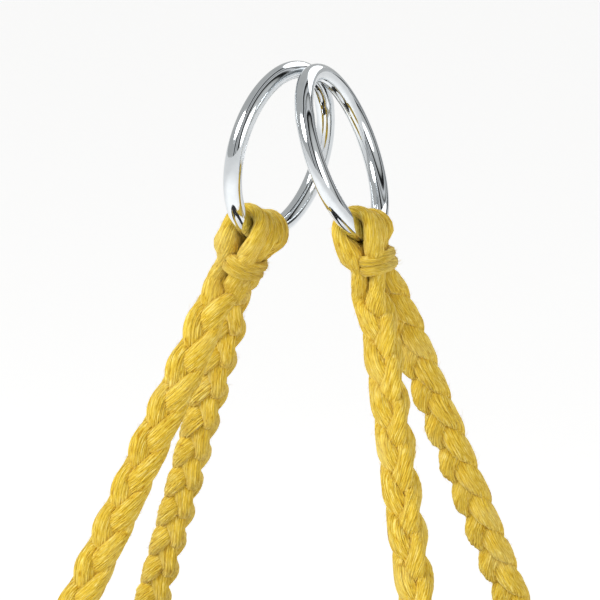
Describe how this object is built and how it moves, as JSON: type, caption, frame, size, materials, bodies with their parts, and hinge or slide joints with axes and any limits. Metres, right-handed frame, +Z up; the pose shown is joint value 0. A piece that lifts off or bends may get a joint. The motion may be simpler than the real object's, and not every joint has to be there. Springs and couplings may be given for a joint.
{
  "type": "tire swing",
  "caption": "Tyre swing: a tyre lying flat, hung by braided cotton ropes from steel rings that go over one hook.",
  "frame": {"origin": "where the hook bears on the rings: level with the inside of their wires at the top, midway between them", "axes": "+Z up, out of the hook's bearing point; +X across the two rings towards the right ring; -Y to the front"},
  "size_m": [0.7599, 0.76, 0.9149],
  "materials": {
    "chrome": "polished",
    "rope": "matt braided cotton",
    "galvanised": "hot-dip galvanised",
    "zinc": "bright zinc plated",
    "tyre": "matt rubber"
  },
  "bodies": {
    "eyes": {"eye_left": "rope", "eye_right": "rope", "whipping_left": "rope", "whipping_right": "rope"},
    "ring_left": {"ring_left": "chrome"},
    "ring_right": {"ring_right": "chrome"},
    "swing": {"rope_front_left": "rope", "rope_back_left": "rope", "rope_front_right": "rope", "rope_back_right": "rope", "end_eye_front_left": "rope", "end_eye_back_left": "rope", "end_eye_front_right": "rope", "end_eye_back_right": "rope", "end_whipping_front_left": "rope", "end_whipping_back_left": "rope", "end_whipping_front_right": "rope", "end_whipping_back_right": "rope", "eye_bolt_front_left": "galvanised", "eye_bolt_back_left": "galvanised", "eye_bolt_front_right": "galvanised", "eye_bolt_back_right": "galvanised", "washer_front_left": "galvanised", "washer_back_left": "galvanised", "washer_front_right": "galvanised", "washer_back_right": "galvanised", "backing_washer_front_left": "galvanised", "backing_washer_back_left": "galvanised", "backing_washer_front_right": "galvanised", "backing_washer_back_right": "galvanised", "nut_front_left": "zinc", "nut_back_left": "zinc", "nut_front_right": "zinc", "nut_back_right": "zinc", "tyre_tread": "tyre", "tyre_sidewall_upper": "tyre", "tyre_sidewall_lower": "tyre", "tyre_bead_upper": "tyre", "tyre_bead_lower": "tyre"}
  },
  "joints": [
    {"name": "ring_left_turn", "type": "hinge", "parent": "eyes", "child": "ring_left", "pos_m": [-0.01101, 0.002, -0.03975], "axis": [0.9606, -0.2588, -0.101], "continuous": true},
    {"name": "ring_right_turn", "type": "hinge", "parent": "eyes", "child": "ring_right", "pos_m": [0.02511, -0.0017, -0.03611], "axis": [0.9134, 0.0175, 0.4067], "continuous": true},
    {"name": "swing_fore_aft", "type": "hinge", "parent": "eyes", "child": "swing", "pos_m": [0, 0, -0.12174], "axis": [1, 0, 0], "range_deg": [-35, 35]}
  ]
}
